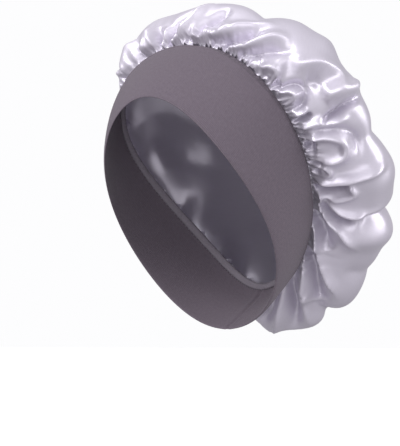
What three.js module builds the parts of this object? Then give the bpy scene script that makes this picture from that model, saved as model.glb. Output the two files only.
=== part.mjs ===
// A satin sleep bonnet in the form it has on a head: a wide band of doubled jersey round the hairline,
// and a round satin crown gathered to the band's upper edge, puffed at the sides and hanging at the nape.
// Millimetres and degrees. +Z is up, the face looks along -Y and the wearer's left is +X.
// The origin is the centre of the band's folded edge, where the head goes in.
// Angles run round the head: 0 at the brow, 90 at the wearer's left, 180 at the nape, 270 at the right.
import * as THREE from "three";

// How far the band's plane leans back from level, from the brow down to the nape.
const wornTilt = 57.5;

// The band's folded edge. Egg narrows the nape against the temples, and nod lifts the brow and the nape.
const foldedEdge = { halfLength: 112, halfWidth: 78, egg: -3.5, nod: 3.5 };

// The band from fold to seam, how much it opens towards the seam, and its doubled cloth. It bulges over
// the hair, and rolls in just below the gathers.
const band = { height: 71, flareLength: 9, flareWidth: 14, flareEgg: 16, flareNod: 3, lift: 8, wall: 2.4 };
const bandBelly = 3.5;
const bandRollIn = 4.5;
const bandRollFrom = 0.8;

// The crown: its cloth, how far it stands out and rises at the fullest place, and its gathers at the seam.
const crownWall = 1.2;
const crownOverhang = 54;
const crownDepth = 84;
const centreDepthShare = 0.9;
const pleatCount = 52;
const pleatHeight = 2.6;
const pleatFade = 0.34;

// The seam allowance that is turned to the inside, and the gap between sewn pieces.
const allowance = { height: 6, wall: 1.8 };
const sewnGap = 0.3;

// The crown's section from the seam to its centre. Out is a share of the overhang, up of the depth,
// and inward of the way to the crown's centre.
const crownSection = [
  { out: 0.0, up: 0.0, inward: 0.0 },
  { out: 0.2, up: 0.015, inward: 0.0 },
  { out: 0.44, up: 0.06, inward: 0.0 },
  { out: 0.69, up: 0.15, inward: 0.0 },
  { out: 0.88, up: 0.27, inward: 0.0 },
  { out: 0.99, up: 0.41, inward: 0.0 },
  { out: 1.0, up: 0.55, inward: 0.0 },
  { out: 0.91, up: 0.69, inward: 0.01 },
  { out: 0.74, up: 0.81, inward: 0.04 },
  { out: 0.5, up: 0.9, inward: 0.1 },
  { out: 0.25, up: 0.96, inward: 0.2 },
  { out: 0.08, up: 1.0, inward: 0.34 },
  { out: 0.0, up: 1.02, inward: 0.5 },
  { out: 0.0, up: 1.03, inward: 0.68 },
  { out: 0.0, up: 1.04, inward: 0.85 },
  { out: 0.0, up: 1.04, inward: 1.0 },
];

// How full the crown is round the head, as shares of the overhang and the depth, at even angles.
const fullness = [
  { angle: 0, overhang: 0.42, depth: 0.7 },
  { angle: 45, overhang: 0.61, depth: 0.89 },
  { angle: 90, overhang: 0.93, depth: 0.91 },
  { angle: 135, overhang: 1.07, depth: 0.88 },
  { angle: 180, overhang: 1.2, depth: 0.77 },
  { angle: 225, overhang: 1.12, depth: 0.8 },
  { angle: 270, overhang: 0.78, depth: 0.86 },
  { angle: 315, overhang: 0.47, depth: 0.85 },
];

// The main folds. Each leaves the seam at its angle, swings by so many degrees on its way to the centre
// and is so many degrees wide. Height is a share of the overhang, negative for a valley. From and to are
// shares of the section.
const folds = [
  { angle: 318, swing: 10, width: 5, height: 0.08, from: 0.03, to: 0.5 },
  { angle: 332, swing: 6, width: 3, height: -0.06, from: 0.0, to: 0.4 },
  { angle: 341, swing: 8, width: 5, height: 0.1, from: 0.03, to: 0.5 },
  { angle: 352, swing: 18, width: 3, height: -0.1, from: 0.0, to: 0.6 },
  { angle: 359, swing: 18, width: 4, height: 0.08, from: 0.03, to: 0.6 },
  { angle: 10, swing: 30, width: 4, height: 0.06, from: 0.02, to: 0.4 },
  { angle: 19, swing: 60, width: 3, height: -0.1, from: 0.02, to: 0.45 },
  { angle: 25, swing: 60, width: 4, height: 0.1, from: 0.04, to: 0.55 },
  { angle: 38, swing: 30, width: 4, height: -0.06, from: 0.0, to: 0.4 },
  { angle: 50, swing: 25, width: 5, height: 0.09, from: 0.03, to: 0.4 },
  { angle: 61, swing: 15, width: 4, height: -0.06, from: 0.0, to: 0.35 },
  { angle: 67, swing: 10, width: 4, height: 0.11, from: 0.03, to: 0.65 },
  { angle: 73, swing: -5, width: 3, height: -0.11, from: 0.0, to: 0.5 },
  { angle: 84, swing: 0, width: 6, height: 0.12, from: 0.02, to: 0.32 },
  { angle: 100, swing: -20, width: 4, height: 0.13, from: 0.02, to: 0.65 },
  { angle: 105, swing: 8, width: 4, height: -0.14, from: 0.0, to: 0.4 },
  { angle: 109, swing: 20, width: 4, height: 0.11, from: 0.03, to: 0.6 },
  { angle: 115, swing: 26, width: 4, height: -0.11, from: 0.0, to: 0.4 },
  { angle: 119, swing: 70, width: 4, height: 0.1, from: 0.03, to: 0.5 },
  { angle: 130, swing: 80, width: 4, height: -0.11, from: 0.0, to: 0.4 },
  { angle: 138, swing: 90, width: 5, height: 0.12, from: 0.03, to: 0.45 },
  { angle: 150, swing: 90, width: 4, height: -0.11, from: 0.0, to: 0.4 },
  { angle: 160, swing: 70, width: 5, height: 0.12, from: 0.03, to: 0.5 },
  { angle: 177, swing: 30, width: 5, height: -0.1, from: 0.0, to: 0.5 },
  { angle: 196, swing: -30, width: 6, height: 0.12, from: 0.03, to: 0.5 },
  { angle: 214, swing: -60, width: 4, height: -0.11, from: 0.0, to: 0.4 },
  { angle: 230, swing: -60, width: 5, height: 0.11, from: 0.03, to: 0.5 },
  { angle: 246, swing: -30, width: 4, height: -0.1, from: 0.0, to: 0.5 },
  { angle: 258, swing: -10, width: 5, height: 0.12, from: 0.03, to: 0.6 },
  { angle: 272, swing: 6, width: 4, height: -0.09, from: 0.0, to: 0.4 },
  { angle: 285, swing: 10, width: 5, height: 0.09, from: 0.03, to: 0.5 },
  { angle: 302, swing: 6, width: 4, height: -0.07, from: 0.0, to: 0.4 },
  { angle: 60, swing: 14, width: 12, height: -0.1, from: 0.4, to: 0.84 },
  { angle: 125, swing: 20, width: 14, height: 0.1, from: 0.42, to: 0.86 },
  { angle: 200, swing: -10, width: 12, height: -0.1, from: 0.4, to: 0.82 },
  { angle: 255, swing: -20, width: 14, height: 0.1, from: 0.42, to: 0.86 },
  { angle: 320, swing: -16, width: 12, height: -0.08, from: 0.4, to: 0.84 },
];

const columns = 2 * pleatCount;
const allowanceFrom = 1 - allowance.height / band.height;
const bandRows = [0.03, 0.2, 0.4, 0.6, bandRollFrom, allowanceFrom, 1];

const radians = THREE.MathUtils.degToRad;
const lean = radians(wornTilt);
const frontward = new THREE.Vector3(0, -Math.cos(lean), Math.sin(lean));
const sideways = new THREE.Vector3(1, 0, 0);
const backward = new THREE.Vector3(0, Math.sin(lean), Math.cos(lean));
const angles = Array.from({ length: columns }, (_, k) => (360 * k) / columns);

// A point in the band's leaning frame, given frontward, sideways and backward.
function leaning(front, side, back) {
  return new THREE.Vector3()
    .addScaledVector(frontward, front)
    .addScaledVector(sideways, side)
    .addScaledVector(backward, back);
}

function ringPoint(ring, degrees) {
  const a = radians(degrees);
  const front = ring.halfLength * Math.cos(a) + (ring.lift ?? 0);
  const side = ring.halfWidth * Math.sin(a) + ring.egg * Math.sin(2 * a);
  const back = (ring.height ?? 0) + ring.nod * Math.cos(3 * a);
  return leaning(front, side, back);
}

const seamEdge = {
  halfLength: foldedEdge.halfLength + band.flareLength,
  halfWidth: foldedEdge.halfWidth + band.flareWidth,
  egg: foldedEdge.egg + band.flareEgg,
  nod: foldedEdge.nod + band.flareNod,
  lift: band.lift,
  height: band.height,
};

// The direction away from the head, square to the seam and in the leaning plane.
function outward(degrees) {
  const step = 0.5;
  const along = ringPoint(seamEdge, degrees + step).sub(ringPoint(seamEdge, degrees - step));
  return along.cross(backward).normalize();
}

// A smooth closed curve through the rows of a table, which are evenly spaced round the head.
function around(table, column, degrees) {
  const place = (((degrees % 360) + 360) % 360) / (360 / table.length);
  const row = Math.floor(place);
  const share = place - row;
  const value = (k) => table[(k + table.length) % table.length][column];
  const [a, b, c, d] = [value(row - 1), value(row), value(row + 1), value(row + 2)];
  const bend = (2 * b - 2 * c + (d - b) / 2 + (c - a) / 2) * share ** 3;
  const rise = (3 * c - 3 * b - (c - a) - (d - b) / 2) * share ** 2;
  return bend + rise + ((c - a) / 2) * share + b;
}

// The band's outer face, from the fold at 0 to the seam at 1, set in by an inset.
function bandFace(degrees, share, inset) {
  const low = ringPoint(foldedEdge, degrees);
  const high = ringPoint(seamEdge, degrees);
  const belly = bandBelly * 4 * share * (1 - share);
  const roll = Math.max(0, (share - bandRollFrom) / (1 - bandRollFrom));
  return low.lerp(high, share).addScaledVector(outward(degrees), belly - bandRollIn * roll ** 2 - inset);
}

// A closed solid from rings of points, each joined to the next, with the last joined to the first.
function loftedLoop(rings) {
  const position = rings.flat().flatMap((p) => p.toArray());
  const index = [];
  rings.forEach((_, r) => {
    const next = (r + 1) % rings.length;
    for (let k = 0; k < columns; k++) {
      const [a, b] = [r * columns + k, r * columns + ((k + 1) % columns)];
      const [c, d] = [next * columns + ((k + 1) % columns), next * columns + k];
      index.push(a, b, c, a, c, d);
    }
  });
  const geometry = new THREE.BufferGeometry();
  geometry.setAttribute("position", new THREE.Float32BufferAttribute(position, 3));
  geometry.setIndex(index);
  return geometry;
}

// The band is a loop of sections: round the fold, up the outer face, over the sewn edge, down the inner one.
function bandGeometry() {
  const ring = (share, inset) => angles.map((degrees) => bandFace(degrees, share, inset));
  const outer = bandRows.map((share) => ring(share, 0));
  const inner = bandRows.map((share) => ring(share, band.wall)).reverse();
  return loftedLoop([ring(0, band.wall / 2), ...outer, ...inner]);
}

// How far a fold moves the crown's cloth at an angle and a share of the section.
function foldLift(fold, degrees, share) {
  const middle = fold.angle + fold.swing * share;
  const off = ((((degrees - middle) % 360) + 540) % 360) - 180;
  const along = (share - fold.from) / (fold.to - fold.from);
  if (along <= 0 || along >= 1) return 0;
  const across = Math.exp(-((off / fold.width) ** 2));
  return fold.height * crownOverhang * across * Math.sin(Math.PI * Math.sqrt(along));
}

const crownCentre = leaning(seamEdge.lift, 0, seamEdge.height + sewnGap);

// A point of the crown's cloth. Folds lift it outwards at the sides and backwards on the back.
function crownPoint(column, row) {
  const degrees = angles[column];
  const section = crownSection[row];
  const share = row / (crownSection.length - 1);
  const away = outward(degrees);
  const seam = bandFace(degrees, 1, band.wall / 2).addScaledVector(backward, sewnGap);
  const overhang = crownOverhang * around(fullness, "overhang", degrees);
  const sideDepth = around(fullness, "depth", degrees);
  const depthShare = THREE.MathUtils.lerp(sideDepth, centreDepthShare, section.inward);
  const pleat = (column % 2 ? -0.5 : 0.5) * pleatHeight * Math.max(0, 1 - share / pleatFade);
  const lift = folds.reduce((sum, fold) => sum + foldLift(fold, degrees, share), 0);
  const turn = (Math.PI / 2) * THREE.MathUtils.smoothstep(share, 0.3, 0.65);
  return seam
    .lerp(crownCentre, section.inward)
    .addScaledVector(away, section.out * overhang + pleat + lift * Math.cos(turn))
    .addScaledVector(backward, section.up * crownDepth * depthShare + lift * Math.sin(turn));
}

// Triangles of the crown's sheet: rows of columns, then a fan to the centre.
function sheetIndex(rows) {
  const index = [];
  for (let row = 0; row < rows - 1; row++) {
    for (let k = 0; k < columns; k++) {
      const [a, b] = [row * columns + k, row * columns + ((k + 1) % columns)];
      index.push(a, b, b + columns, a, b + columns, a + columns);
    }
  }
  const last = (rows - 1) * columns;
  for (let k = 0; k < columns; k++) index.push(last + k, last + ((k + 1) % columns), rows * columns);
  return index;
}

// The crown is one bag of cloth: an outer skin, the same skin set in by the cloth, and a rim at the seam.
function crownGeometry() {
  const rows = crownSection.length - 1;
  const outer = [];
  for (let row = 0; row < rows; row++) angles.forEach((_, column) => outer.push(crownPoint(column, row)));
  outer.push(crownPoint(0, rows));
  const sheet = new THREE.BufferGeometry().setFromPoints(outer);
  const skin = sheetIndex(rows);
  sheet.setIndex(skin);
  sheet.computeVertexNormals();
  const normal = sheet.getAttribute("normal");
  const inner = outer.map((p, k) => {
    const away = k < columns ? outward(angles[k]) : new THREE.Vector3().fromBufferAttribute(normal, k);
    return p.clone().addScaledVector(away, -crownWall);
  });
  const shift = outer.length;
  const innerSkin = [];
  for (let k = 0; k < skin.length; k += 3) {
    innerSkin.push(skin[k] + shift, skin[k + 2] + shift, skin[k + 1] + shift);
  }
  const rim = [];
  for (let k = 0; k < columns; k++) {
    const next = (k + 1) % columns;
    rim.push(k, k + shift, next + shift, k, next + shift, next);
  }
  const geometry = new THREE.BufferGeometry().setFromPoints([...outer, ...inner]);
  geometry.setIndex([...skin, ...innerSkin, ...rim]);
  return geometry;
}

// The raw edges of band and crown, overlocked together and turned to the inside along the seam.
function allowanceGeometry() {
  const near = band.wall + sewnGap;
  const far = near + allowance.wall;
  const ring = (share, inset) => angles.map((degrees) => bandFace(degrees, share, inset));
  return loftedLoop([ring(allowanceFrom, near), ring(1, near), ring(1, far), ring(allowanceFrom, far)]);
}

const materials = {
  jersey: new THREE.MeshStandardMaterial({ color: 0x766c76, roughness: 0.95, metalness: 0 }),
  satin: new THREE.MeshStandardMaterial({ color: 0xc4bfca, roughness: 0.35, metalness: 0.1 }),
};

const bonnet = new THREE.Group();
for (const [name, geometry, material] of [
  ["band", bandGeometry(), materials.jersey],
  ["crown", crownGeometry(), materials.satin],
  ["seam_allowance", allowanceGeometry(), materials.satin],
]) {
  const mesh = new THREE.Mesh(geometry, material);
  mesh.name = name;
  bonnet.add(mesh);
}

export default bonnet;
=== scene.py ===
# The looks of a satin bonnet: a crown of gathered satin, a band of doubled jersey, an overlocked seam.
# Metres, +Z up, the face looks along -Y. Angles run round the head from the brow by the wearer's left.
import math
import random

import bpy
import numpy as np
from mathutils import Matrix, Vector, geometry


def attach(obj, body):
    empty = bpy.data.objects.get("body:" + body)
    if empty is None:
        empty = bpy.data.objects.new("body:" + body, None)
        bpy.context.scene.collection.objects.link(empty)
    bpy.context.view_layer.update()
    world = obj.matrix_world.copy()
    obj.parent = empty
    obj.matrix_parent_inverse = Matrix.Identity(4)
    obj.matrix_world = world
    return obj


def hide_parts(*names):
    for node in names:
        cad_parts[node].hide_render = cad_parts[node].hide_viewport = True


MM = 0.001

# The band's two edges, in millimetres: they lean back together by the worn tilt.
WORN_TILT = 57.5
FOLDED_EDGE = {"half_length": 112, "half_width": 78, "egg": -3.5, "nod": 3.5, "lift": 0, "height": 0}
SEAM_EDGE = {"half_length": 121, "half_width": 92, "egg": 12.5, "nod": 6.5, "lift": 8, "height": 71}
BAND_BELLY = 3.5
BAND_ROLL_IN = 4.5
BAND_ROLL_FROM = 0.8
BAND_WALL = 2.4
SEWN_GAP = 0.3
ALLOWANCE_WIDTH = 6
ALLOWANCE_FROM = 1 - ALLOWANCE_WIDTH / SEAM_EDGE["height"]
ALLOWANCE_WALL = 1.8

# The crown's fullest place, and its section from the seam to the centre as shares of it.
CROWN_OVERHANG = 54
CROWN_DEPTH = 84
CENTRE_DEPTH_SHARE = 0.9
CROWN_SECTION = [
    {"out": 0.0, "up": 0.0, "inward": 0.0},
    {"out": 0.2, "up": 0.015, "inward": 0.0},
    {"out": 0.44, "up": 0.06, "inward": 0.0},
    {"out": 0.69, "up": 0.15, "inward": 0.0},
    {"out": 0.88, "up": 0.27, "inward": 0.0},
    {"out": 0.99, "up": 0.41, "inward": 0.0},
    {"out": 1.0, "up": 0.55, "inward": 0.0},
    {"out": 0.91, "up": 0.69, "inward": 0.01},
    {"out": 0.74, "up": 0.81, "inward": 0.04},
    {"out": 0.5, "up": 0.9, "inward": 0.1},
    {"out": 0.25, "up": 0.96, "inward": 0.2},
    {"out": 0.08, "up": 1.0, "inward": 0.34},
    {"out": 0.0, "up": 1.02, "inward": 0.5},
    {"out": 0.0, "up": 1.03, "inward": 0.68},
    {"out": 0.0, "up": 1.04, "inward": 0.85},
    {"out": 0.0, "up": 1.04, "inward": 1.0},
]
# How full the crown is round the head, from the brow on, one value per step of the angle.
FULLNESS_STEP = 45
FULLNESS = {
    "overhang": [0.42, 0.61, 0.93, 1.07, 1.2, 1.12, 0.78, 0.47],
    "depth": [0.7, 0.89, 0.91, 0.88, 0.77, 0.8, 0.86, 0.85],
}

# The folds, seen and guessed. A path is a row of places on the crown, each an angle and a share of its
# section. Width and height are in millimetres, and a negative height is a valley.
FOLDS = [
    {"path": [(322, 0.08), (328, 0.2), (330, 0.3)], "width": 9, "height": 8},
    {"path": [(332, 0.03), (336, 0.12), (337, 0.22)], "width": 4, "height": -7},
    {"path": [(338, 0.06), (342, 0.17), (343, 0.28)], "width": 8, "height": 8},
    {"path": [(343, 0.02), (347, 0.12), (347, 0.25)], "width": 3.5, "height": -7},
    {"path": [(347, 0.03), (350, 0.12), (352, 0.24)], "width": 4, "height": 5},
    {"path": [(350, 0.03), (353, 0.13), (357, 0.22), (361, 0.3), (364, 0.4)], "width": 4, "height": -9},
    {"path": [(354, 0.02), (357, 0.13), (362, 0.22), (366, 0.32), (369, 0.42)],
     "width": 5, "height": 7},
    {"path": [(359, 0.03), (363, 0.09)], "width": 5, "height": -5},
    {"path": [(4, 0.05), (10, 0.13), (13, 0.18)], "width": 7, "height": 7},
    {"path": [(6, 0.12), (10, 0.19), (14, 0.27), (17, 0.36)], "width": 4, "height": -8},
    {"path": [(13, 0.1), (22, 0.2), (29, 0.28), (38, 0.34)], "width": 6, "height": 7},
    {"path": [(13, 0.05), (21, 0.09), (29, 0.18), (33, 0.26)], "width": 4, "height": -9},
    {"path": [(23, 0.04), (32, 0.15), (38, 0.25), (44, 0.31)], "width": 5.5, "height": 8},
    {"path": [(28, 0.04), (36, 0.12), (42, 0.2), (48, 0.27)], "width": 4, "height": -6},
    {"path": [(40, 0.1), (49, 0.2)], "width": 9, "height": 4},
    {"path": [(41, 0.04), (45, 0.12), (49, 0.12), (50, 0.04)], "width": 3.5, "height": 6},
    {"path": [(46, 0.02), (46.5, 0.07)], "width": 3, "height": -4},
    {"path": [(52, 0.02), (53, 0.1)], "width": 3, "height": -6},
    {"path": [(56, 0.03), (57, 0.1), (60, 0.12), (62, 0.04)], "width": 3.5, "height": 6},
    {"path": [(54, 0.05), (56, 0.15), (61, 0.17), (65, 0.1), (65, 0.04)], "width": 3, "height": -5},
    {"path": [(51, 0.2), (56, 0.29), (62, 0.34), (65, 0.29), (66, 0.2)], "width": 7, "height": 8},
    {"path": [(58, 0.2), (61, 0.26)], "width": 6, "height": -4},
    {"path": [(65, 0.22), (67.5, 0.33), (68, 0.44)], "width": 6.5, "height": 7},
    {"path": [(74, 0.15), (72, 0.25), (71.5, 0.33), (73, 0.48)], "width": 3, "height": -11},
    {"path": [(67, 0.03), (67.5, 0.13)], "width": 3.5, "height": 6},
    {"path": [(70, 0.01), (69.5, 0.08), (69, 0.14)], "width": 2.5, "height": -7},
    {"path": [(73, 0.04), (73, 0.13), (75, 0.2), (76, 0.28)], "width": 4, "height": 6},
    {"path": [(78, 0.04), (79, 0.14), (83, 0.2), (88, 0.18), (90, 0.1), (89, 0.04)],
     "width": 4.5, "height": 8},
    {"path": [(82.5, 0.02), (83.5, 0.08)], "width": 5, "height": -9},
    {"path": [(76, 0.1), (79, 0.22), (84, 0.27), (91, 0.23)], "width": 4, "height": -4},
    {"path": [(92, 0.02), (92, 0.09), (95, 0.11), (97, 0.05)], "width": 2.5, "height": 5},
    {"path": [(90.5, 0.02), (91, 0.1)], "width": 2, "height": -5},
    {"path": [(94.5, 0.02), (94.5, 0.07)], "width": 2, "height": -5},
    {"path": [(99.5, 0.02), (98.5, 0.12), (96, 0.25), (95, 0.38)], "width": 4.5, "height": 9},
    {"path": [(102, 0.03), (102, 0.1), (100.5, 0.18)], "width": 4.5, "height": -10},
    {"path": [(100, 0.17), (104, 0.19), (107, 0.12), (105, 0.05)], "width": 3, "height": 5},
    {"path": [(103.5, 0.02), (109, 0.07), (112.5, 0.14), (113.5, 0.22), (112, 0.4)],
     "width": 4, "height": 9},
    {"path": [(107.5, 0.05), (113, 0.1), (116, 0.15), (116, 0.22)], "width": 4.5, "height": -10},
    {"path": [(106, 0.015), (113, 0.055), (117.5, 0.09), (120, 0.135), (125, 0.18), (130, 0.24)],
     "width": 4, "height": 8},
    {"path": [(114, 0.02), (120, 0.05), (126.5, 0.09), (132, 0.13)], "width": 6, "height": -11},
    {"path": [(121, 0.01), (129, 0.05), (137, 0.09), (142, 0.125), (146.5, 0.16), (151, 0.2), (157, 0.25)],
     "width": 4.5, "height": 11},
    {"path": [(133, 0.03), (141, 0.08), (148, 0.12), (154, 0.155), (160, 0.2), (164, 0.25)],
     "width": 6, "height": -11},
    {"path": [(137, 0.01), (146, 0.045), (154, 0.08), (161, 0.12), (167, 0.17), (172, 0.24), (174, 0.31)],
     "width": 5.5, "height": 10},
    {"path": [(160, 0.12), (161.5, 0.17), (159, 0.23)], "width": 4, "height": 5},
    {"path": [(142, 0.01), (152, 0.04), (161, 0.07), (168, 0.11), (174, 0.18), (179, 0.26), (181, 0.32)],
     "width": 6, "height": -13},
    {"path": [(151, 0.01), (161, 0.035), (169, 0.065), (176, 0.11), (182, 0.18), (186, 0.25), (187, 0.29)],
     "width": 5.5, "height": 9},
    {"path": [(161, 0.02), (171, 0.05), (180, 0.1), (187, 0.18), (192, 0.26), (194, 0.32)],
     "width": 6, "height": -13},
    {"path": [(169, 0.02), (179, 0.055), (188, 0.11), (195, 0.2), (200, 0.3)],
     "width": 5.5, "height": 11},
    {"path": [(179, 0.02), (188, 0.06), (197, 0.15)], "width": 5, "height": -9},
    {"path": [(187, 0.02), (196, 0.08), (203, 0.18)], "width": 6, "height": 9},
    {"path": [(195, 0.02), (201, 0.1), (205, 0.24)], "width": 5, "height": -8},
    {"path": [(204, 0.02), (211, 0.1), (214, 0.28)], "width": 6, "height": 8},
    {"path": [(214, 0.02), (220, 0.1), (221, 0.22)], "width": 5, "height": -8},
    {"path": [(223, 0.02), (228, 0.12), (226, 0.3)], "width": 6, "height": 8},
    {"path": [(233, 0.02), (236, 0.1), (235, 0.24)], "width": 5, "height": -8},
    {"path": [(241, 0.02), (243, 0.14), (239, 0.32)], "width": 6, "height": 8},
    {"path": [(250, 0.02), (250, 0.12), (246, 0.26)], "width": 4.5, "height": -8},
    {"path": [(257, 0.02), (257, 0.14), (260, 0.34)], "width": 5, "height": 8},
    {"path": [(264, 0.02), (265, 0.1), (268, 0.22)], "width": 4, "height": -7},
    {"path": [(270, 0.02), (274, 0.13), (272, 0.3)], "width": 5, "height": 7},
    {"path": [(277, 0.02), (280, 0.1), (281, 0.24)], "width": 4, "height": -7},
    {"path": [(284, 0.02), (287, 0.12), (290, 0.3)], "width": 5, "height": 6},
    {"path": [(292, 0.02), (294, 0.1), (295, 0.24)], "width": 4, "height": -6},
    {"path": [(299, 0.02), (302, 0.12), (306, 0.26)], "width": 5, "height": 6},
    {"path": [(306, 0.03), (310, 0.1), (313, 0.22)], "width": 4.5, "height": -4},
    {"path": [(316, 0.09), (318, 0.14), (321, 0.21)], "width": 5, "height": 4},
]

# Broad lobes of the puffed bag, and soft slack folds on its back, stated in the same way.
LOBES = [
    {"path": [(302, 0.15), (305, 0.5)], "width": 24, "height": -9},
    {"path": [(338, 0.15), (336, 0.5)], "width": 18, "height": 3},
    {"path": [(28, 0.3), (28, 0.55)], "width": 15, "height": -7},
    {"path": [(53, 0.32), (53, 0.55)], "width": 14, "height": 6},
    {"path": [(68, 0.3), (69, 0.5)], "width": 12, "height": 3},
    {"path": [(85, 0.28), (86, 0.6)], "width": 13, "height": -6},
    {"path": [(100, 0.3), (101, 0.6)], "width": 17, "height": 5},
    {"path": [(115, 0.25), (117, 0.5)], "width": 7, "height": -8},
    {"path": [(124, 0.2), (126, 0.5)], "width": 12, "height": 6},
    {"path": [(141, 0.25), (143, 0.55)], "width": 11, "height": -4},
    {"path": [(165, 0.18), (168, 0.5)], "width": 13, "height": -12},
    {"path": [(186, 0.15), (191, 0.35)], "width": 11, "height": 7},
    {"path": [(205, 0.2), (207, 0.5)], "width": 12, "height": -6},
    {"path": [(225, 0.2), (224, 0.5)], "width": 14, "height": 6},
    {"path": [(250, 0.2), (248, 0.5)], "width": 12, "height": -5},
    {"path": [(268, 0.2), (270, 0.5)], "width": 14, "height": 6},
    {"path": [(72, 0.52), (78, 0.62), (92, 0.72)], "width": 16, "height": -3},
    {"path": [(112, 0.5), (116, 0.62), (108, 0.74)], "width": 16, "height": 4},
    {"path": [(80, 0.64), (125, 0.8), (180, 0.82), (232, 0.76), (262, 0.6)], "width": 15, "height": -4},
    {"path": [(128, 0.56), (155, 0.68), (188, 0.7), (214, 0.62)], "width": 15, "height": 4},
    {"path": [(150, 0.46), (152, 0.58)], "width": 14, "height": -3},
    {"path": [(205, 0.46), (212, 0.58), (206, 0.66)], "width": 14, "height": -3},
    {"path": [(240, 0.5), (246, 0.62), (262, 0.7)], "width": 16, "height": 4},
    {"path": [(285, 0.48), (288, 0.6), (276, 0.74)], "width": 15, "height": -4},
    {"path": [(322, 0.5), (328, 0.64), (318, 0.78)], "width": 16, "height": 4},
    {"path": [(352, 0.5), (360, 0.66), (384, 0.78)], "width": 15, "height": -4},
    {"path": [(42, 0.5), (45, 0.62), (38, 0.72)], "width": 16, "height": 3},
    {"path": [(305, 0.7), (340, 0.84), (400, 0.86), (440, 0.78)], "width": 15, "height": 3},
]
FOLD_POINTS = 90
VALLEY_DEPTH = 1.3
# How a fold ends: it rises and fades over shares of its path, and lies flat by the seam.
FOLD_RISE = 0.12
FOLD_FADE = 0.35
FLAT_BY_SEAM = 9
# Short ridges have a round top, and long ridges and all valleys a sharper one.
LONG_PATH = 5
ROUND_TOP = 2
SHARP_TOP = 1.5

# The cut: how much larger the flat satin is than the crown's form, and how finely it is meshed.
CLOTH_SLACK = 1.06
RIM_STEP = 1.5
FINE_STEP = 2.2
COARSE_STEP = 5.0
RIM_REACH = 12
FINE_REACH = 70
ROW_SPACING = 0.87
FEWEST_IN_ROW = 6
CUT_ANGLE_STEP = 2.0
CUT_PLACES = 241

# The gathers at the seam: fine puckers, and the gathers that they merge into.
GATHERS = [
    {"count": 130, "height": 2.1, "reach": 8, "seed": 7},
    {"count": 58, "height": 2.2, "reach": 14, "seed": 12},
]
GATHER_WIDTHS = (0.6, 1.5)
GATHER_HEIGHTS = (0.5, 1.3)
GATHER_FADE = 1.5
# Close to the seam the thread holds the folds down, and the satin stands off the band.
SEWN_DOWN = 2.8
SEWN_DOWN_SLOPE = 0.9
TURNED_OUT = 6
RIM_LIFT = 0.7
RIM_LOWEST = -1.0
SATIN_THICKNESS = 0.5

# How the satin settles: how firmly it is held, for how long, and how much of its move is kept.
SEWN_RIM = 1
HELD_BY_SEAM = 0.35
HELD_FADE = 12
HELD_EVERYWHERE = 0.02
HOLD_LEVELS = 50
SIM_FRAMES = 22
SETTLED_SHARE = 0.45
MOST_MOVE = 20

# The jersey's relief in millimetres, at shares of the band's height. Angles and the back seam's widths
# are in degrees.
JERSEY_STRIP = {"from": 0.8, "to": 1.02, "cuts": 2}
ALLOWANCE_RIDGE = {"share": 0.878, "width": 0.013, "height": 0.8}
SEAM_GROOVE = {"share": 0.893, "width": 0.028, "depth": 1.5}
GATHER_PULL = {"share": 0.92, "width": 0.08, "height": 0.45}
BACK_SEAM = {"angle": 180, "width": 0.7, "depth": 1.1, "fades_at_fold": 0.04}
BACK_SEAM_WELTS = {"beside": 1.9, "width": 1.1, "height": 0.4}
# Behind the wearer's left ear the band lies flatter.
FLAT_BELLY = {"from": 45, "to": 215, "fade": 30, "depth": 2.0, "power": 1.5}

# The overlock thread on the raw edges.
LOOP_COUNT = 200
THREAD_RADIUS = 0.32
THREAD_SIDES = 5
THREAD_SLANT = 0.3

# The photo's camera, with angles in degrees and lengths in metres and millimetres of film.
CAMERA_PLACE = {"azimuth": 38, "elevation": -4, "distance": 1.5}
CAMERA_LENS = {"sensor_width": 36, "lens": 142.75, "shift_x": 0.0307, "shift_y": -0.0148}

# The studio: a pale floor and three large soft lamps, with power in watts.
FLOOR_SIZE = 60
FLOOR_HEIGHT = -0.28
LAMPS = [
    {"name": "key", "azimuth": -15, "elevation": 37, "distance": 1.9, "size": 0.9, "power": 25},
    {"name": "fill", "azimuth": 42, "elevation": 12, "distance": 1.8, "size": 1.2, "power": 8},
    {"name": "side", "azimuth": 118, "elevation": 15, "distance": 1.8, "size": 0.9, "power": 12},
]
# How the room glows: brighter ahead of the bonnet than behind it, and brighter above than below.
ROOM_AHEAD = (0.6, -0.8, -0.1)
ROOM_DEPTH = {"from": (-0.6, 0.6), "glow": (0.55, 0.9)}
ROOM_HEIGHT = {"from": (-0.7, 0.6), "glow": (0.78, 1.0)}

lean = math.radians(WORN_TILT)
FRONTWARD = np.array([0.0, -math.cos(lean), math.sin(lean)])
SIDEWAYS = np.array([1.0, 0.0, 0.0])
BACKWARD = np.array([0.0, math.sin(lean), math.cos(lean)])


def smooth_step(x):
    """Eases from 0 to 1 as x does."""
    x = np.clip(x, 0, 1)
    return x * x * (3 - 2 * x)


def ring_points(ring, degrees):
    """Places on one of the band's edges, in millimetres."""
    a = np.radians(degrees)
    front = ring["half_length"] * np.cos(a) + ring["lift"]
    side = ring["half_width"] * np.sin(a) + ring["egg"] * np.sin(2 * a)
    back = ring["height"] + ring["nod"] * np.cos(3 * a)
    return front[:, None] * FRONTWARD + side[:, None] * SIDEWAYS + back[:, None] * BACKWARD


def outward(degrees):
    """The way out from the head, square to the seam."""
    along = ring_points(SEAM_EDGE, degrees + 0.5) - ring_points(SEAM_EDGE, degrees - 0.5)
    away = np.cross(along, BACKWARD)
    return away / np.linalg.norm(away, axis=1)[:, None]


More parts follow.
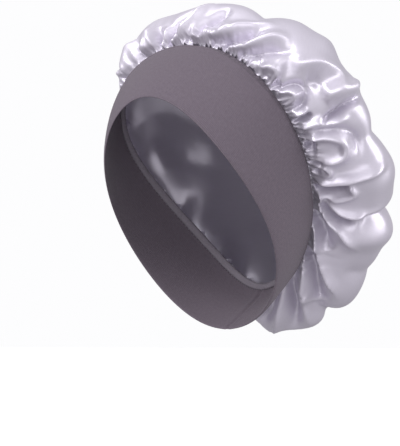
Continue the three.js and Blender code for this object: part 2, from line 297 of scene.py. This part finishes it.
def band_face(degrees, share, inset):
    """The band's outer face, from the fold at 0 to the seam at 1, set in by an inset."""
    share = np.broadcast_to(share, degrees.shape)[:, None]
    low, high = ring_points(FOLDED_EDGE, degrees), ring_points(SEAM_EDGE, degrees)
    belly = BAND_BELLY * 4 * share * (1 - share)
    roll = np.maximum(0, (share - BAND_ROLL_FROM) / (1 - BAND_ROLL_FROM))
    out = belly - BAND_ROLL_IN * roll**2 - np.reshape(inset, (-1, 1))
    return low + (high - low) * share + outward(degrees) * out


def smooth_table(values, place, closed):
    """Values of a smooth curve through evenly spaced table values, at places counted in rows."""
    values = np.asarray(values, float)
    row = np.floor(place).astype(int)
    if closed:
        a, b, c, d = (values[(row + k) % len(values)] for k in (-1, 0, 1, 2))
    else:
        row = np.clip(row, 0, len(values) - 2)
        a, b, c, d = (values[np.clip(row + k, 0, len(values) - 1)] for k in (-1, 0, 1, 2))
    t = place - row
    bend = (2 * b - 2 * c + (d - b) / 2 + (c - a) / 2) * t**3
    return bend + (3 * c - 3 * b - (c - a) - (d - b) / 2) * t**2 + (c - a) / 2 * t + b


def seam_points(degrees):
    """Where the crown is sewn on: the middle of the band's upper edge."""
    inset = BAND_ROLL_IN + BAND_WALL / 2
    return ring_points(SEAM_EDGE, degrees) - inset * outward(degrees) + SEWN_GAP * BACKWARD


def crown_form(degrees, share):
    """The crown's cloth without its folds, in millimetres, at angles and shares of its section."""
    place = share * (len(CROWN_SECTION) - 1)
    out, up, inward = (
        smooth_table([row[name] for row in CROWN_SECTION], place, False)
        for name in ("out", "up", "inward")
    )
    round_place = (degrees % 360) / FULLNESS_STEP
    overhang = CROWN_OVERHANG * smooth_table(FULLNESS["overhang"], round_place, True)
    side_depth = smooth_table(FULLNESS["depth"], round_place, True)
    depth = CROWN_DEPTH * (side_depth + (CENTRE_DEPTH_SHARE - side_depth) * inward)
    centre = SEAM_EDGE["lift"] * FRONTWARD + (SEAM_EDGE["height"] + SEWN_GAP) * BACKWARD
    base = seam_points(degrees) * (1 - inward)[:, None] + centre * inward[:, None]
    return base + outward(degrees) * (out * overhang)[:, None] + BACKWARD * (up * depth)[:, None]


def crown_normals(degrees, share):
    """The way out of the crown's form, from its slope between places close by."""
    share_step = 0.004
    angle_step = 0.4
    low, high = np.clip(share - share_step, 0, 1), np.clip(share + share_step, 0, 1)
    down = crown_form(degrees, high) - crown_form(degrees, low)
    along = crown_form(degrees + angle_step, share) - crown_form(degrees - angle_step, share)
    normal = np.cross(along, down)
    size = np.linalg.norm(normal, axis=1)
    flat = size < 1e-6
    normal[flat] = BACKWARD
    size[flat] = 1
    return normal / size[:, None]


def fold_heights(form, run):
    """How far the folds lift points of the form, from how near each point is to each fold's path."""
    total = np.zeros(len(form))
    for fold in FOLDS + LOBES:
        path = np.array(fold["path"], float)
        place = np.linspace(0, len(path) - 1, FOLD_POINTS)
        crest_angle, crest_share = (smooth_table(column, place, False) for column in path.T)
        crest = crown_form(crest_angle, crest_share)
        gap = ((form[:, None, :] - crest[None, :, :]) ** 2).sum(2)
        along = gap.argmin(1) / (FOLD_POINTS - 1)
        height = fold["height"]
        top = ROUND_TOP if height > 0 and len(path) < LONG_PATH else SHARP_TOP
        if fold in LOBES:
            ends = 1.0
        else:
            ends = smooth_step(along / FOLD_RISE) * smooth_step((1 - along) / FOLD_FADE)
            height *= VALLEY_DEPTH if height < 0 else 1
        total += height * np.exp(-((gap.min(1) ** 0.5 / fold["width"]) ** top)) * ends
    return total * smooth_step(run / FLAT_BY_SEAM)


def gather_wave(turn, count, seed):
    """A wave round the seam, one turn from 0 to 1, of uneven width and height."""
    rng = random.Random(seed)
    widths = np.array([rng.uniform(*GATHER_WIDTHS) for _ in range(count)])
    heights = np.array([rng.uniform(*GATHER_HEIGHTS) for _ in range(count)])
    edges = np.concatenate([[0], np.cumsum(widths) / widths.sum()])
    place = np.interp(turn % 1, edges, np.arange(count + 1))
    return np.cos(2 * math.pi * place) * smooth_table(heights, place, True)


def run_along(path):
    """The length of a path up to each of its points."""
    return np.concatenate([[0], np.cumsum(np.linalg.norm(np.diff(path, axis=0), axis=1))])


def gather_heights(turn, run):
    """How far the gathers lift the satin: most at the seam, less further up."""
    return sum(
        row["height"]
        * gather_wave(turn, row["count"], row["seed"])
        * np.exp(-((run / row["reach"]) ** GATHER_FADE))
        for row in GATHERS
    )


def cut_rings():
    """The length of the crown's section at each angle, summed up from the seam."""
    degrees = np.arange(0, 360, CUT_ANGLE_STEP)
    shares = np.linspace(0, 1, CUT_PLACES)
    lengths = [run_along(crown_form(np.full(CUT_PLACES, angle), shares)) for angle in degrees]
    return degrees, shares, np.array(lengths)


def flat_pattern():
    """Points of the cut in the flat (millimetres) with their angle and share on the crown's form."""
    degrees, shares, lengths = cut_rings()
    whole_turn = np.append(degrees, 360.0)
    seam_run = run_along(seam_points(whole_turn))
    turn_of = seam_run / seam_run[-1]
    mean_reach = lengths[:, -1].mean() * CLOTH_SLACK
    depth, points, rim = 0.0, [(0.0, 0.0)], 0
    while depth < mean_reach - COARSE_STEP:
        fine = RIM_STEP + (FINE_STEP - RIM_STEP) * smooth_step((depth - RIM_REACH) / RIM_REACH)
        step = fine + (COARSE_STEP - FINE_STEP) * smooth_step((depth - FINE_REACH) / FINE_REACH)
        radius = 1 - depth / mean_reach
        count = max(FEWEST_IN_ROW, round(2 * math.pi * radius * mean_reach / step))
        rim = rim or count
        points += [(radius, (j + 0.5 * (rim != count)) / count) for j in range(count)]
        depth += step * ROW_SPACING
    radius, turn = np.array(points).T
    angle = np.interp(turn % 1, turn_of, whole_turn)
    column = angle / CUT_ANGLE_STEP
    row = np.floor(column).astype(int)
    blend = (column - row)[:, None]
    table = lengths[row % len(lengths)] * (1 - blend) + lengths[(row + 1) % len(lengths)] * blend
    whole = table[:, -1]
    run = (1 - radius) * whole
    share = np.array([np.interp(r, t, shares) for r, t in zip(run, table)])
    spoke = np.stack([np.cos(2 * math.pi * turn), np.sin(2 * math.pi * turn)], 1)
    flat = spoke * (radius * whole * CLOTH_SLACK)[:, None]
    return flat, spoke * radius[:, None], angle, share, turn, run, rim


def make_crown():
    """The satin, sculpted into its folds and then let go a little."""
    flat, disc, angle, share, turn, run, rim = flat_pattern()
    corners = [Vector(point) for point in disc]
    same_place = 1e-7
    _, _, faces, *_ = geometry.delaunay_2d_cdt(corners, [], [], 0, same_place)
    form = crown_form(angle, share)
    lift = fold_heights(form, run) + gather_heights(turn, run)
    lift = np.minimum(lift, SEWN_DOWN + SEWN_DOWN_SLOPE * run)[:, None]
    turned_out = np.exp(-run / TURNED_OUT)[:, None]
    way = crown_normals(angle, share) * (1 - turned_out) + outward(angle) * turned_out
    start = form + way * lift
    rim_rows = np.arange(1, rim + 1)
    rim_lift = np.maximum(RIM_LIFT * lift[rim_rows], RIM_LOWEST)
    start[rim_rows] = form[rim_rows] + outward(angle[rim_rows]) * rim_lift
    mesh = bpy.data.meshes.new("crown_satin")
    mesh.from_pydata((start * MM).tolist(), [], faces)
    crown = bpy.data.objects.new("crown_satin", mesh)
    bpy.context.scene.collection.objects.link(crown)
    uv = mesh.uv_layers.new(name="cut")
    index = np.zeros(len(mesh.loops), int)
    mesh.loops.foreach_get("vertex_index", index)
    uv.data.foreach_set("uv", (flat[index] * MM).ravel())
    area = sum(face_area(flat[list(face)]) for face in faces)
    settle(crown, flat, start, run, rim)
    return crown, flat, area


def face_area(corners):
    a, b, c = corners[:3]
    return abs((b[0] - a[0]) * (c[1] - a[1]) - (b[1] - a[1]) * (c[0] - a[0])) / 2


def settle(crown, flat, start, run, rim):
    """Lets the satin buckle: it is larger in the flat than its form, so its gathers fold."""
    crown.shape_key_add(name="worn")
    cut = crown.shape_key_add(name="flat cut")
    rest = np.concatenate([flat, np.zeros((len(flat), 1))], 1) * MM
    cut.data.foreach_set("co", rest.ravel())
    cut.value = 0
    held = crown.vertex_groups.new(name="sewn")
    hold = np.where(run < SEWN_RIM, 1.0, HELD_BY_SEAM * np.exp(-run / HELD_FADE) + HELD_EVERYWHERE)
    hold[1 : rim + 1] = 1.0
    for level in range(1, HOLD_LEVELS + 1):
        rows = np.where(np.round(hold * HOLD_LEVELS) == level)[0]
        held.add(rows.tolist(), level / HOLD_LEVELS, "REPLACE")
    cloth = crown.modifiers.new("satin", "CLOTH")
    satin = cloth.settings
    satin.rest_shape_key = cut
    satin.vertex_group_mass = "sewn"
    satin.pin_stiffness = 1.0
    satin.quality = 6
    satin.mass = 0.1
    satin.tension_stiffness = satin.compression_stiffness = 40
    satin.shear_stiffness = 15
    satin.bending_stiffness = 0.6
    satin.tension_damping = satin.compression_damping = satin.shear_damping = 5
    satin.air_damping = 3
    satin.use_pressure = True
    satin.uniform_pressure_force = 1.2
    satin.effector_weights.gravity = 0.0
    cloth.collision_settings.use_collision = False
    cloth.collision_settings.use_self_collision = False
    scene = bpy.context.scene
    for number in range(1, SIM_FRAMES + 1):
        scene.frame_set(number)
    posed = crown.evaluated_get(bpy.context.evaluated_depsgraph_get()).to_mesh()
    found = np.zeros(len(start) * 3)
    posed.vertices.foreach_get("co", found)
    crown.modifiers.remove(cloth)
    crown.shape_key_clear()
    move = found.reshape(-1, 3) / MM - start
    far = np.linalg.norm(move, axis=1)
    print("moved mm: mean", far.mean().round(2), "most", far.max().round(1))
    move *= SETTLED_SHARE * np.minimum(1, MOST_MOVE / np.maximum(far, 1e-6))[:, None]
    crown.data.vertices.foreach_set("co", ((start + move) * MM).ravel())
    crown.data.update()
    scene.frame_set(1)


def linear(code):
    """A colour for a shader from a hex value, such as 'c4bfca'."""
    parts = [int(code[k : k + 2], 16) / 255 for k in (0, 2, 4)]
    return [p / 12.92 if p <= 0.04045 else ((p + 0.055) / 1.055) ** 2.4 for p in parts] + [1.0]


def node(tree, kind, settings=None, links=None):
    """A shader node with its settings, and with other nodes' outputs linked into it."""
    made = tree.nodes.new(kind)
    for name, value in (settings or {}).items():
        if isinstance(name, int) or name in made.inputs:
            made.inputs[name].default_value = value
        else:
            setattr(made, name, value)
    for name, source in (links or {}).items():
        tree.links.new(source, made.inputs[name])
    return made


def fresh_material(name):
    material = bpy.data.materials.new(name)
    material.use_nodes = True
    tree = material.node_tree
    tree.nodes.clear()
    return material, tree


def two_tones(tree, dark, light, amount):
    settings = {"data_type": "RGBA", 6: linear(dark), 7: linear(light)}
    return node(tree, "ShaderNodeMix", settings, {"Factor": amount}).outputs[2]


def polyester_satin():
    """Warp-faced filament satin: long smooth floats, with a broad soft gloss drawn across them."""
    material, tree = fresh_material("polyester_satin")
    flat = node(tree, "ShaderNodeUVMap", {"uv_map": "cut"})
    # Filament yarns of 0.15 mm are drawn 0.5 mm wide and 12 mm long, so that they show.
    floats = node(tree, "ShaderNodeMapping", {"Scale": (2000, 80, 1)}, {"Vector": flat.outputs["UV"]})
    yarn = node(
        tree, "ShaderNodeTexNoise", {"Scale": 1.0, "Detail": 2.0}, {"Vector": floats.outputs["Vector"]}
    )
    relief = node(
        tree, "ShaderNodeBump", {"Strength": 0.1, "Distance": 0.0002}, {"Height": yarn.outputs["Fac"]}
    )
    warp = node(tree, "ShaderNodeTangent", {"direction_type": "UV_MAP", "uv_map": "cut"})
    shader = node(
        tree,
        "ShaderNodeBsdfPrincipled",
        {"Roughness": 0.4, "Metallic": 0.5, "Anisotropic": 0.75, "IOR": 1.5, "Specular IOR Level": 0.6},
        {
            "Base Color": two_tones(tree, "cac5d2", "d6d1dd", yarn.outputs["Fac"]),
            "Normal": relief.outputs["Normal"],
            "Tangent": warp.outputs["Tangent"],
        },
    )
    node(tree, "ShaderNodeOutputMaterial", links={"Surface": shader.outputs["BSDF"]})
    return material


def knit_waves(tree, flat):
    """Knit loops of 0.9 mm are drawn 1.5 mm wide, as upright wales crossed by finer courses."""
    loop = {"Distortion": 1.3, "Detail": 1.0, "Detail Scale": 550.0}
    waves = [
        node(
            tree,
            "ShaderNodeTexWave",
            {"bands_direction": way, "Scale": scale, **loop},
            {"Vector": flat.outputs["UV"]},
        )
        for way, scale in (("X", 210.0), ("Y", 260.0))
    ]
    links = {0: waves[0].outputs["Fac"], 1: waves[1].outputs["Fac"]}
    return node(tree, "ShaderNodeMath", {"operation": "MULTIPLY"}, links)


def cotton_jersey():
    """Dyed cotton jersey: matt, slightly hairy, with a fine knit and a faint mottle in its dye."""
    material, tree = fresh_material("cotton_jersey")
    flat = node(tree, "ShaderNodeUVMap", {"uv_map": "knit"})
    knit = knit_waves(tree, flat)
    mottle = node(
        tree,
        "ShaderNodeTexNoise",
        {"Scale": 420.0, "Detail": 3.0, "Roughness": 0.7},
        {"Vector": flat.outputs["UV"]},
    )
    amount = node(
        tree,
        "ShaderNodeMath",
        {"operation": "MULTIPLY_ADD", 1: 0.35},
        {0: knit.outputs[0], 2: mottle.outputs["Fac"]},
    )
    relief = node(
        tree, "ShaderNodeBump", {"Strength": 0.4, "Distance": 0.0005}, {"Height": knit.outputs[0]}
    )
    shader = node(
        tree,
        "ShaderNodeBsdfPrincipled",
        {"Roughness": 0.95, "Sheen Weight": 0.1, "Sheen Roughness": 0.5, "Specular IOR Level": 0.2},
        {
            "Base Color": two_tones(tree, "524a53", "6d646e", amount.outputs[0]),
            "Normal": relief.outputs["Normal"],
        },
    )
    node(tree, "ShaderNodeOutputMaterial", links={"Surface": shader.outputs["BSDF"]})
    return material


def spun_thread():
    """Spun polyester overlock thread over the raw edges: dull and a little uneven."""
    material, tree = fresh_material("spun_thread")
    place = node(tree, "ShaderNodeTexCoord")
    fibres = node(
        tree, "ShaderNodeTexNoise", {"Scale": 900.0, "Detail": 2.0}, {"Vector": place.outputs["Object"]}
    )
    shader = node(
        tree,
        "ShaderNodeBsdfPrincipled",
        {"Roughness": 0.7, "IOR": 1.5},
        {"Base Color": two_tones(tree, "6f6872", "8a838d", fibres.outputs["Fac"])},
    )
    node(tree, "ShaderNodeOutputMaterial", links={"Surface": shader.outputs["BSDF"]})
    return material


def band_places(mesh):
    """Each point of the band: where it is, its angle round the head and its share up the band."""
    where = np.zeros(len(mesh.vertices) * 3)
    mesh.vertices.foreach_get("co", where)
    where = where.reshape(-1, 3) / MM
    share = np.clip((where @ BACKWARD) / SEAM_EDGE["height"], 0, 1)
    front = where @ FRONTWARD - SEAM_EDGE["lift"] * share
    side = where @ SIDEWAYS
    angle = np.arctan2(side / SEAM_EDGE["half_width"], front / SEAM_EDGE["half_length"])
    angle = np.degrees(angle)
    nod = FOLDED_EDGE["nod"] + (SEAM_EDGE["nod"] - FOLDED_EDGE["nod"]) * share
    share = ((where @ BACKWARD) - nod * np.cos(np.radians(3 * angle))) / SEAM_EDGE["height"]
    return where, angle % 360, share


def finer_copy(node_name, new_name, levels):
    """A copy of a CAD node with its triangles merged into quads and subdivided."""
    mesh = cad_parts[node_name].data.copy()
    piece = bpy.data.objects.new(new_name, mesh)
    mesh.materials.clear()
    bpy.context.scene.collection.objects.link(piece)
    select_only(piece)
    bpy.ops.object.mode_set(mode="EDIT")
    bpy.ops.mesh.select_all(action="SELECT")
    same_place = 0.02 * MM
    bpy.ops.mesh.remove_doubles(threshold=same_place)
    bpy.ops.mesh.tris_convert_to_quads()
    bpy.ops.mesh.normals_make_consistent(inside=False)
    bpy.ops.object.mode_set(mode="OBJECT")
    finer = piece.modifiers.new("finer", "SUBSURF")
    finer.levels = finer.render_levels = levels
    bpy.ops.object.modifier_apply(modifier="finer")
    return piece


def vertex_normals(mesh):
    normals = np.zeros(len(mesh.vertices) * 3)
    mesh.vertices.foreach_get("normal", normals)
    return normals.reshape(-1, 3)


def cut_strip_finer(mesh):
    """Cuts the jersey's outer face finer along the seam, for the ridge and the groove there."""
    _, angle, share = band_places(mesh)
    facing = (vertex_normals(mesh) * outward(angle)).sum(1)
    strip = (facing > 0) & (share > JERSEY_STRIP["from"]) & (share < JERSEY_STRIP["to"])
    chosen = [all(strip[v] for v in face.vertices) for face in mesh.polygons]
    bpy.ops.object.mode_set(mode="EDIT")
    bpy.ops.mesh.select_mode(type="FACE")
    bpy.ops.mesh.select_all(action="DESELECT")
    bpy.ops.object.mode_set(mode="OBJECT")
    mesh.polygons.foreach_set("select", chosen)
    bpy.ops.object.mode_set(mode="EDIT")
    bpy.ops.mesh.subdivide(number_cuts=JERSEY_STRIP["cuts"])
    # The faces beside the strip get more than four sides, so they are split from their middle.
    bpy.ops.mesh.select_all(action="DESELECT")
    bpy.ops.mesh.select_face_by_sides(number=4, type="GREATER")
    bpy.ops.mesh.poke()
    bpy.ops.object.mode_set(mode="OBJECT")


def seam_relief(angle, share):
    """The ridge that the allowance makes, the groove of the seam and the pull to the gathers."""
    ridge_place = (share - ALLOWANCE_RIDGE["share"]) / ALLOWANCE_RIDGE["width"]
    ridge = ALLOWANCE_RIDGE["height"] * np.exp(-(ridge_place**2))
    groove_place = (share - SEAM_GROOVE["share"]) / SEAM_GROOVE["width"]
    groove = -SEAM_GROOVE["depth"] * smooth_step(groove_place)
    puckers = gather_wave(angle / 360, GATHERS[0]["count"], GATHERS[0]["seed"])
    pull_place = (share - GATHER_PULL["share"]) / GATHER_PULL["width"]
    pull = GATHER_PULL["height"] * puckers * smooth_step(pull_place)
    return groove + ridge + pull


def back_seam_relief(angle, share):
    """The back seam: a narrow groove between two low welts."""
    off = angle - BACK_SEAM["angle"]
    groove = -BACK_SEAM["depth"] * np.exp(-((off / BACK_SEAM["width"]) ** 2))
    welt_place = (np.abs(off) - BACK_SEAM_WELTS["beside"]) / BACK_SEAM_WELTS["width"]
    welts = BACK_SEAM_WELTS["height"] * np.exp(-(welt_place**2))
    return groove + welts, smooth_step(share / BACK_SEAM["fades_at_fold"])


def belly_relief(angle, share):
    """How much flatter the band lies, inside and out."""
    starts = smooth_step((angle - FLAT_BELLY["from"]) / FLAT_BELLY["fade"])
    stops = smooth_step((FLAT_BELLY["to"] - angle) / FLAT_BELLY["fade"])
    hollow = np.sin(math.pi * np.clip(share, 0, 1)) ** FLAT_BELLY["power"]
    return -FLAT_BELLY["depth"] * (starts * stops) * hollow


def make_band():
    """The doubled jersey, with its seams in relief."""
    band = finer_copy("band", "band_jersey", levels=2)
    mesh = band.data
    cut_strip_finer(mesh)
    where, angle, share = band_places(mesh)
    away = outward(angle)
    facing = (vertex_normals(mesh) * away).sum(1)
    outer = np.clip(facing * 2, 0, 1)
    back_seam, on_band = back_seam_relief(angle, share)
    lift = seam_relief(angle, share) * outer
    lift = lift + back_seam * np.sign(facing) * on_band + belly_relief(angle, share)
    where = where + away * lift[:, None]
    mesh.vertices.foreach_set("co", (where * MM).ravel())
    mesh.update()
    add_knit_map(mesh, angle, share)
    return band


def add_knit_map(mesh, angle, share):
    """A flat map of the band in metres: along the head and up the band, with its cut at the brow."""
    head_radius = 0.1
    head_round = 2 * math.pi * head_radius
    uv = mesh.uv_layers.new(name="knit")
    index = np.zeros(len(mesh.loops), int)
    mesh.loops.foreach_get("vertex_index", index)
    totals = np.zeros(len(mesh.polygons), int)
    mesh.polygons.foreach_get("loop_total", totals)
    across = (angle / 360 * head_round)[index]
    owner = np.repeat(np.arange(len(totals)), totals)
    high = np.zeros(len(totals))
    np.maximum.at(high, owner, across)
    across = np.where(high[owner] - across > head_round / 2, across + head_round, across)
    up = share[index] * SEAM_EDGE["height"] * MM
    uv.data.foreach_set("uv", np.stack([across, up], 1).ravel())


def stitch_path(number):
    """One loop of the overlock, in turns of a stitch, shares of the band and millimetres inward."""
    near = BAND_WALL + SEWN_GAP
    far = near + ALLOWANCE_WALL
    stitch = [
        {"turn": -0.3, "share": 0.985, "inset": far},
        {"turn": 0.0, "share": 0.965, "inset": far + 0.2},
        {"turn": 0.35, "share": ALLOWANCE_FROM + 0.012, "inset": far + 0.2},
        {"turn": 0.45, "share": ALLOWANCE_FROM - 0.003, "inset": (near + far) / 2},
        {"turn": 0.7, "share": ALLOWANCE_FROM + 0.012, "inset": near + 0.1},
    ]
    step = 360 / LOOP_COUNT
    path = []
    for row in stitch:
        angle = np.array([(number + row["turn"]) * step])
        path.append(band_face(angle, row["share"], row["inset"])[0])
    return np.array(path)


def add_thread(points, faces, path):
    """A thread with closed ends along a path."""
    run = np.gradient(path, axis=0)
    run /= np.linalg.norm(run, axis=1)[:, None]
    side = np.cross(run, BACKWARD + THREAD_SLANT * SIDEWAYS)
    side /= np.linalg.norm(side, axis=1)[:, None]
    up = np.cross(side, run)
    base = len(points)
    for place, s, u in zip(path, side, up):
        for j in range(THREAD_SIDES):
            a = 2 * math.pi * j / THREAD_SIDES
            points.append((place + (s * math.cos(a) + u * math.sin(a)) * THREAD_RADIUS) * MM)
    for r in range(len(path) - 1):
        row = base + r * THREAD_SIDES
        for j in range(THREAD_SIDES):
            a, b = row + j, row + (j + 1) % THREAD_SIDES
            faces.append((a, b, b + THREAD_SIDES, a + THREAD_SIDES))
    last = base + (len(path) - 1) * THREAD_SIDES
    faces.append(tuple(base + j for j in reversed(range(THREAD_SIDES))))
    faces.append(tuple(last + j for j in range(THREAD_SIDES)))


def make_overlocked_edge():
    """The turned-in raw edges, with loops of thread slanting over them and round their free edge."""
    edge = finer_copy("seam_allowance", "overlocked_edge", levels=1)
    points, faces = [], []
    for number in range(LOOP_COUNT):
        add_thread(points, faces, stitch_path(number))
    mesh = bpy.data.meshes.new("overlock_loops")
    mesh.from_pydata([tuple(p) for p in points], [], faces)
    loops = bpy.data.objects.new("overlock_loops", mesh)
    bpy.context.scene.collection.objects.link(loops)
    select_only(edge)
    loops.select_set(True)
    bpy.ops.object.join()
    bpy.ops.object.mode_set(mode="EDIT")
    bpy.ops.mesh.select_all(action="SELECT")
    bpy.ops.mesh.normals_make_consistent(inside=False)
    bpy.ops.object.mode_set(mode="OBJECT")
    return edge


def finish_crown(crown):
    """Turns the satin's face outwards and gives it its thickness."""
    mesh = crown.data
    above_seam = 20
    centre = SEAM_EDGE["lift"] * FRONTWARD + (SEAM_EDGE["height"] + above_seam) * BACKWARD
    centre = Vector(centre * MM)
    facing = sum((face.center - centre).dot(face.normal) for face in mesh.polygons)
    select_only(crown)
    if facing < 0:
        bpy.ops.object.mode_set(mode="EDIT")
        bpy.ops.mesh.select_all(action="SELECT")
        bpy.ops.mesh.flip_normals()
        bpy.ops.object.mode_set(mode="OBJECT")
    thick = crown.modifiers.new("thickness", "SOLIDIFY")
    thick.thickness = SATIN_THICKNESS * MM
    thick.offset = -1
    bpy.ops.object.modifier_apply(modifier="thickness")


def put_on(piece, material, node_name):
    """Gives a piece its material and smooth shading, ties it to the root body and hides the CAD node that
    it stands in for.
    """
    piece.data.materials.append(material)
    select_only(piece)
    bpy.ops.object.shade_smooth()
    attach(piece, "root")
    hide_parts(node_name)


def select_only(thing):
    bpy.ops.object.select_all(action="DESELECT")
    thing.select_set(True)
    bpy.context.view_layer.objects.active = thing


def look_back(thing, azimuth, elevation, distance):
    """Sets a camera or lamp off from the origin, looking back at it."""
    a, e = math.radians(azimuth), math.radians(elevation)
    away = Vector((math.sin(a) * math.cos(e), -math.cos(a) * math.cos(e), math.sin(e)))
    thing.location = away * distance
    thing.rotation_mode = "QUATERNION"
    thing.rotation_quaternion = (-away).to_track_quat("-Z", "Y")


def add_camera():
    bpy.ops.object.camera_add()
    camera = bpy.context.object
    look_back(camera, **CAMERA_PLACE)
    for name, value in CAMERA_LENS.items():
        setattr(camera.data, name, value)
    bpy.context.scene.camera = camera


def add_light(name, azimuth, elevation, distance, size, power):
    bpy.ops.object.light_add(type="AREA")
    lamp = bpy.context.object
    lamp.name = name
    look_back(lamp, azimuth, elevation, distance)
    lamp.data.size = size
    lamp.data.energy = power


def add_studio():
    """A pale floor, a key lamp high in front, a weak fill by the camera, a side lamp and the room."""
    bpy.ops.mesh.primitive_plane_add(size=FLOOR_SIZE, location=(0, 0, FLOOR_HEIGHT))
    floor = bpy.context.object
    floor.name = "floor"
    floor.data.materials.append(pale_floor())
    floor.visible_diffuse = floor.visible_glossy = False
    add_room()
    for lamp in LAMPS:
        add_light(**lamp)
    bpy.context.scene.view_settings.view_transform = "Standard"


def pale_floor():
    """A matt white floor, lifted a little by its own light, and clear from below."""
    material, tree = fresh_material("pale_floor")
    shader = node(
        tree,
        "ShaderNodeBsdfPrincipled",
        {
            "Base Color": linear("f7f6f8"),
            "Roughness": 0.9,
            "Emission Color": linear("ffffff"),
            "Emission Strength": 0.46,
        },
    )
    side = node(tree, "ShaderNodeNewGeometry")
    clear = node(tree, "ShaderNodeBsdfTransparent")
    links = {0: side.outputs["Backfacing"], 1: shader.outputs["BSDF"], 2: clear.outputs["BSDF"]}
    seen = node(tree, "ShaderNodeMixShader", links=links)
    node(tree, "ShaderNodeOutputMaterial", links={"Surface": seen.outputs["Shader"]})
    return material


def glow_range(tree, row, easing, value):
    """Turns a value between two limits into a glow between two strengths."""
    (low, high), (weak, strong) = row["from"], row["glow"]
    settings = {"interpolation_type": easing, 1: low, 2: high, 3: weak, 4: strong}
    return node(tree, "ShaderNodeMapRange", settings, {"Value": value})


def add_room():
    """A soft white room that lights the bonnet with the lamps, and whose walls look white."""
    world = bpy.data.worlds.new("soft_room")
    world.use_nodes = True
    tree = world.node_tree
    tree.nodes.clear()
    rays = node(tree, "ShaderNodeLightPath")
    way = node(tree, "ShaderNodeTexCoord").outputs["Generated"]
    ahead = node(
        tree, "ShaderNodeVectorMath", {"operation": "DOT_PRODUCT", 1: ROOM_AHEAD}, {0: way}
    )
    depth = glow_range(tree, ROOM_DEPTH, "SMOOTHSTEP", ahead.outputs["Value"])
    up = node(tree, "ShaderNodeSeparateXYZ", links={"Vector": way})
    height = glow_range(tree, ROOM_HEIGHT, "LINEAR", up.outputs["Z"])
    strength = node(
        tree,
        "ShaderNodeMath",
        {"operation": "MULTIPLY"},
        {0: depth.outputs["Result"], 1: height.outputs["Result"]},
    )
    glow = node(
        tree,
        "ShaderNodeBackground",
        {"Color": linear("f6f4f8")},
        {"Strength": strength.outputs["Value"]},
    )
    wall = node(tree, "ShaderNodeBackground", {"Color": linear("fdfdfe"), "Strength": 1.0})
    both = node(
        tree,
        "ShaderNodeMixShader",
        links={0: rays.outputs["Is Camera Ray"], 1: glow.outputs[0], 2: wall.outputs[0]},
    )
    node(tree, "ShaderNodeOutputWorld", links={"Surface": both.outputs[0]})
    bpy.context.scene.world = world


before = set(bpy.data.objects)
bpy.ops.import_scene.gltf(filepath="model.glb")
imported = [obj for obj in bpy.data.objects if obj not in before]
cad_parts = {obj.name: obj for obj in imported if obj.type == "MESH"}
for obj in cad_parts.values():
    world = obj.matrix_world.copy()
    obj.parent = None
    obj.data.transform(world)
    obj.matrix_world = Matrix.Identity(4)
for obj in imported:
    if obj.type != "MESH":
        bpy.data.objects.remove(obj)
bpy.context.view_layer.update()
add_camera()
add_studio()

crown, flat_cut, cut_area = make_crown()
finish_crown(crown)
put_on(crown, polyester_satin(), "crown")
band = make_band()
put_on(band, cotton_jersey(), "band")
put_on(make_overlocked_edge(), spun_thread(), "seam_allowance")
